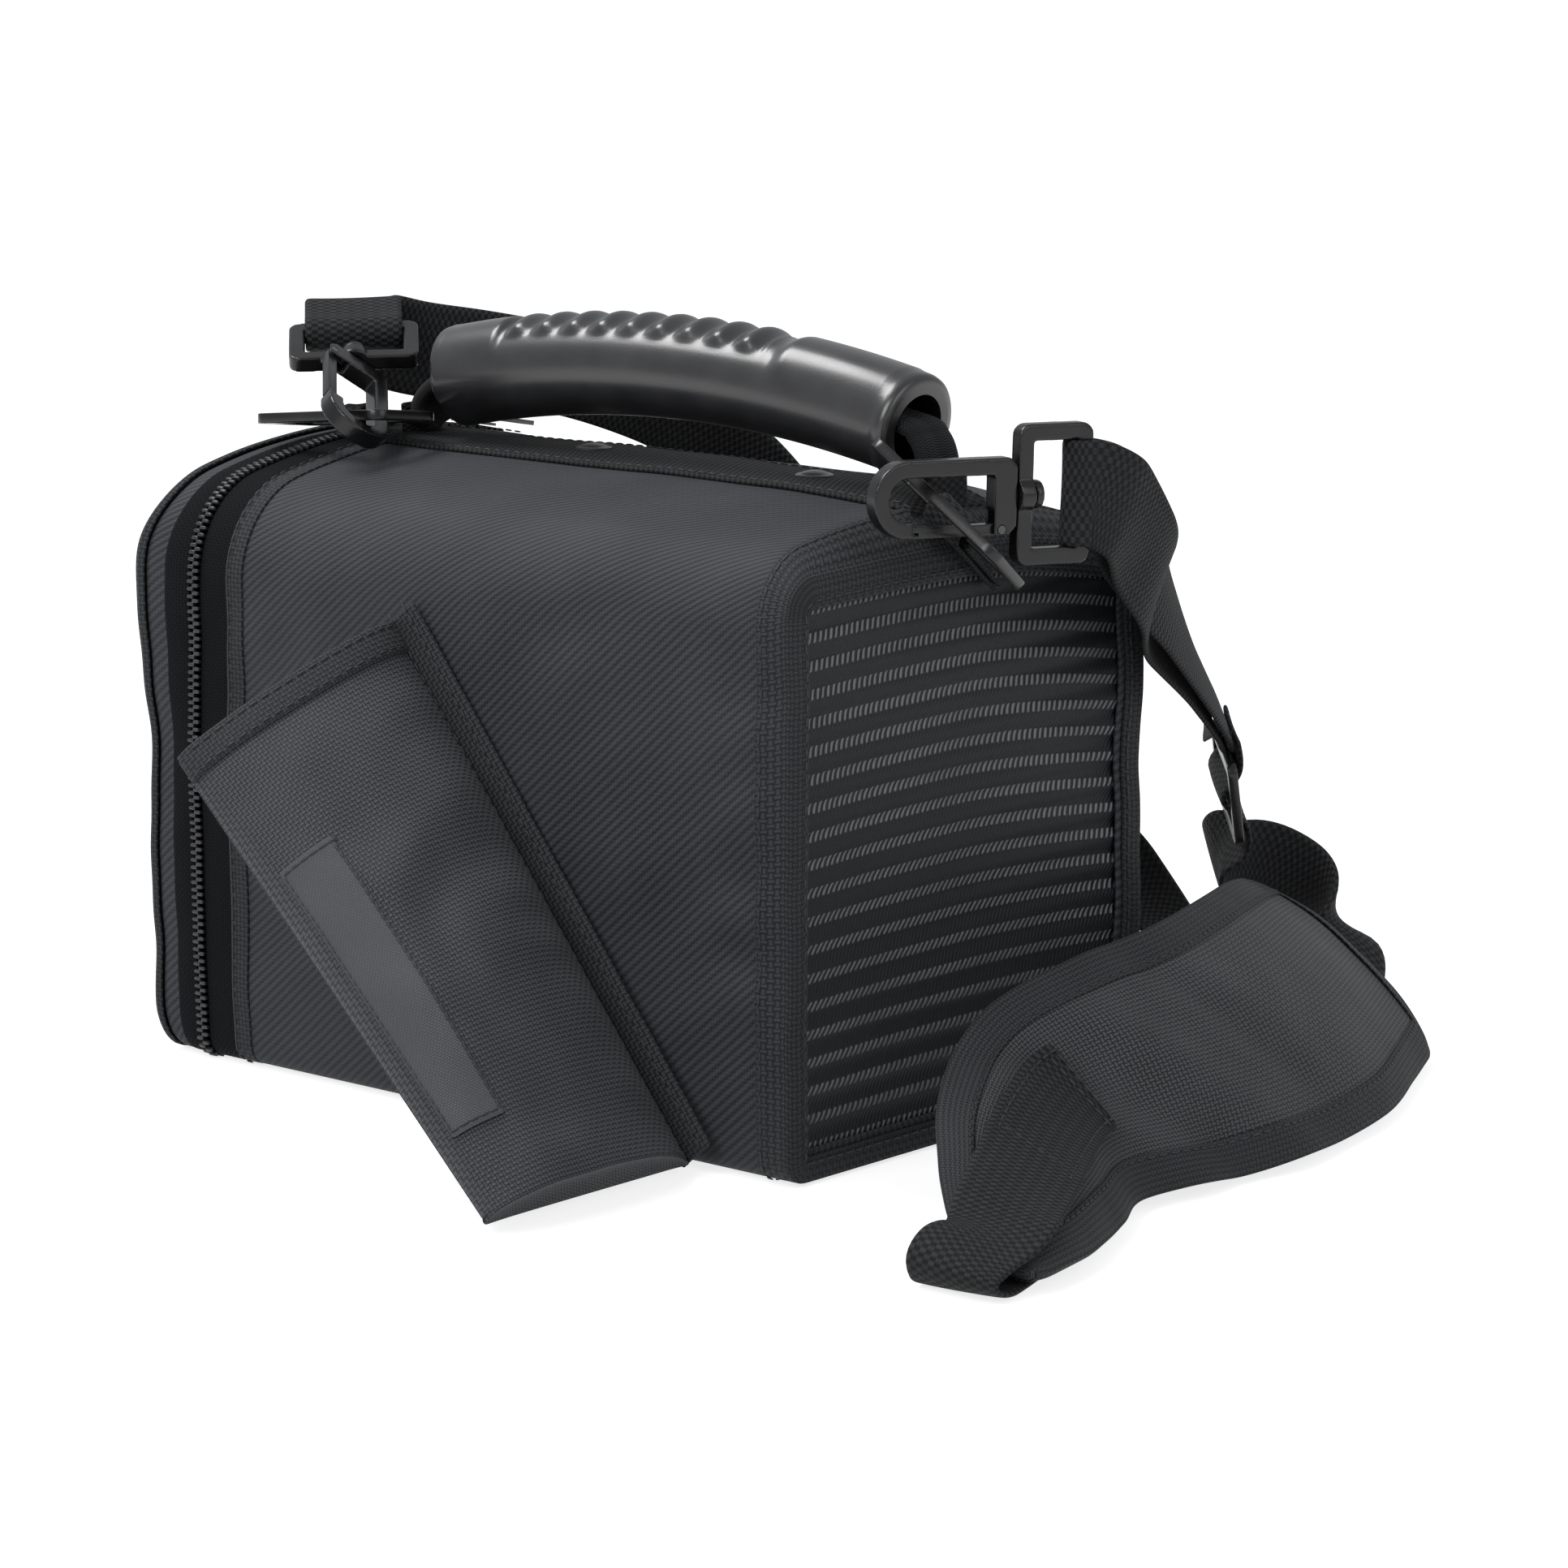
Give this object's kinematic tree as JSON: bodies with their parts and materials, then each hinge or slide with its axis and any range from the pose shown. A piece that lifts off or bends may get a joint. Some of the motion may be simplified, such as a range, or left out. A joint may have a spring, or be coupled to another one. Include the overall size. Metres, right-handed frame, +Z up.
{
  "type": "padded carrying case",
  "caption": "Padded black nylon carrying case with mesh front, zipped rear lid, ribbed grip handle, shoulder strap with pad, snap hooks and a lean-to accessory pouch.",
  "frame": {"origin": "middle of the case's flat bottom, on the surface it stands on", "axes": "+Z up; the mesh front faces -Y; the carry handle runs along Y; the pouch leans on the -X side"},
  "size_m": [0.301, 0.3194, 0.1902],
  "materials": {
    "shell_nylon": "matte woven",
    "binding_tape": "matte woven",
    "zip_tape": "matte woven",
    "zip_teeth": "satin",
    "foam": "matte",
    "lining": "matte woven",
    "board": "matte",
    "mesh": "matte knitted",
    "webbing": "matte woven",
    "grip_rubber": "satin",
    "hard_plastic": "gloss",
    "metal": "satin",
    "zip_metal": "satin",
    "pad_cloth": "matte woven",
    "pouch_nylon": "matte woven",
    "label": "matte"
  },
  "bodies": {
    "case": {"outer_cover": "shell_nylon", "foam_padding": "foam", "lining": "lining", "front_border": "shell_nylon", "front_mesh": "mesh", "front_binding": "binding_tape", "zip_tape_case": "zip_tape", "zip_teeth_case": "zip_teeth", "hinge_tape_case": "zip_tape", "top_strip": "webbing", "rivet_front": "metal", "rivet_rear": "metal", "eye_front": "hard_plastic", "eye_rear": "hard_plastic", "ring_keeper_front": "webbing", "ring_keeper_rear": "webbing", "strap_front": "webbing", "strap_slider": "hard_plastic", "shoulder_pad": "pad_cloth", "pad_binding": "binding_tape", "strap_main": "webbing", "strap_rear": "webbing"},
    "rear_lid": {"zip_teeth_lid": "zip_teeth", "hinge_tape_lid": "zip_tape", "lid_gusset": "shell_nylon", "lid_panel": "shell_nylon", "lid_board": "board", "lid_lining": "lining", "lid_piping": "binding_tape"},
    "zip_slider": {"zip_slider": "zip_metal"},
    "zip_pull": {"zip_pull": "zip_metal"},
    "handle": {"handle_grip": "grip_rubber", "handle_webbing": "webbing"},
    "ring_front": {"ring_front": "hard_plastic"},
    "ring_rear": {"ring_rear": "hard_plastic"},
    "hook_front": {"hook_front": "hard_plastic", "gate_pin_front": "metal"},
    "gate_front": {"gate_front": "hard_plastic"},
    "hook_rear": {"hook_rear": "hard_plastic", "gate_pin_rear": "metal"},
    "gate_rear": {"gate_rear": "hard_plastic"},
    "pouch": {"pouch_body": "pouch_nylon", "pouch_back": "pouch_nylon", "pouch_hem": "binding_tape", "pouch_binding": "binding_tape", "pouch_label": "label"}
  },
  "joints": [
    {"name": "lid_hinge", "type": "hinge", "parent": "case", "child": "rear_lid", "pos_m": [0.0659, 0.0885, 0.07], "axis": [0, 0, -1], "range_deg": [0, 170]},
    {"name": "zip_travel", "type": "hinge", "parent": "case", "child": "zip_slider", "pos_m": [0, 0.0885, -0.02686], "axis": [0, 1, 0], "range_deg": [-10.39, 0]},
    {"name": "pull_flip", "type": "hinge", "parent": "zip_slider", "child": "zip_pull", "pos_m": [0.03473, 0.0885, 0.15354], "axis": [0, -1, 0], "range_deg": [0, 40]},
    {"name": "handle_tilt", "type": "hinge", "parent": "case", "child": "handle", "pos_m": [0, -0.013, 0.1624], "axis": [0, 1, 0], "range_deg": [-15, 35]},
    {"name": "ring_swing_front", "type": "hinge", "parent": "case", "child": "ring_front", "pos_m": [-0.01212, -0.11333, 0.14837], "axis": [-0.071, -0.8597, -0.5058], "range_deg": [-1.5, 1.5]},
    {"name": "ring_swing_rear", "type": "hinge", "parent": "case", "child": "ring_rear", "pos_m": [-0.01374, 0.07785, 0.15821], "axis": [0.0199, 0.9938, -0.1093], "range_deg": [-1.5, 1.5]},
    {"name": "hook_swivel_front", "type": "hinge", "parent": "case", "child": "hook_front", "pos_m": [-0.04298, -0.11172, 0.15811], "axis": [0.94, -0.34, -0.03], "range_deg": [-7, 8]},
    {"name": "hook_swivel_rear", "type": "hinge", "parent": "case", "child": "hook_rear", "pos_m": [-0.0386, 0.05869, 0.1583], "axis": [0.661, 0.6661, 0.3455], "range_deg": [-4, 4]},
    {"name": "gate_press_front", "type": "hinge", "parent": "hook_front", "child": "gate_front", "pos_m": [-0.01124, -0.1232, 0.14939], "axis": [0.3401, 0.9404, 0], "range_deg": [0, 6], "stiffness_Nm_per_rad": 0.02},
    {"name": "gate_press_rear", "type": "hinge", "parent": "hook_rear", "child": "gate_rear", "pos_m": [-0.02162, 0.08452, 0.1744], "axis": [0.2337, -0.6204, 0.7487], "range_deg": [0, 6], "stiffness_Nm_per_rad": 0.02},
    {"name": "pouch_slide", "type": "slide", "parent": "case", "child": "pouch", "axis": [-1, 0, 0], "range_m": [0, 0.15]}
  ]
}
